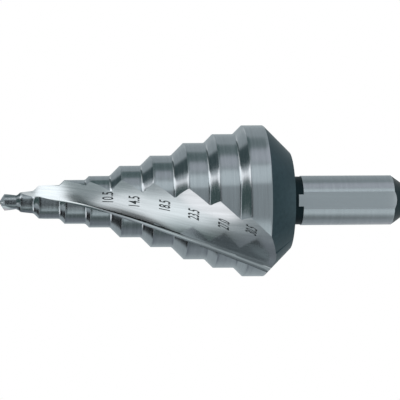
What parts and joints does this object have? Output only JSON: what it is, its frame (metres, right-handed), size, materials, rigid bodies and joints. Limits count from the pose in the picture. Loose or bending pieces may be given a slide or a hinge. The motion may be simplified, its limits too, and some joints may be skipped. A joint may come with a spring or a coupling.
{
  "type": "step drill",
  "caption": "Stepped conical drill bit with helical flutes, a turned neck and a round shank with flats, for holes in sheet metal.",
  "frame": {"origin": "on the drill's axis, at the shank's end face, which is the face it stands on", "axes": "+Z along the axis from the shank end to the point; one of the three shank flats faces -Y, the front; +X is to the right of that view"},
  "size_m": [0.0305, 0.0304, 0.0812],
  "materials": {
    "ground_steel": "satin"
  },
  "bodies": {
    "root": {"step_drill": "ground_steel"}
  },
  "joints": []
}
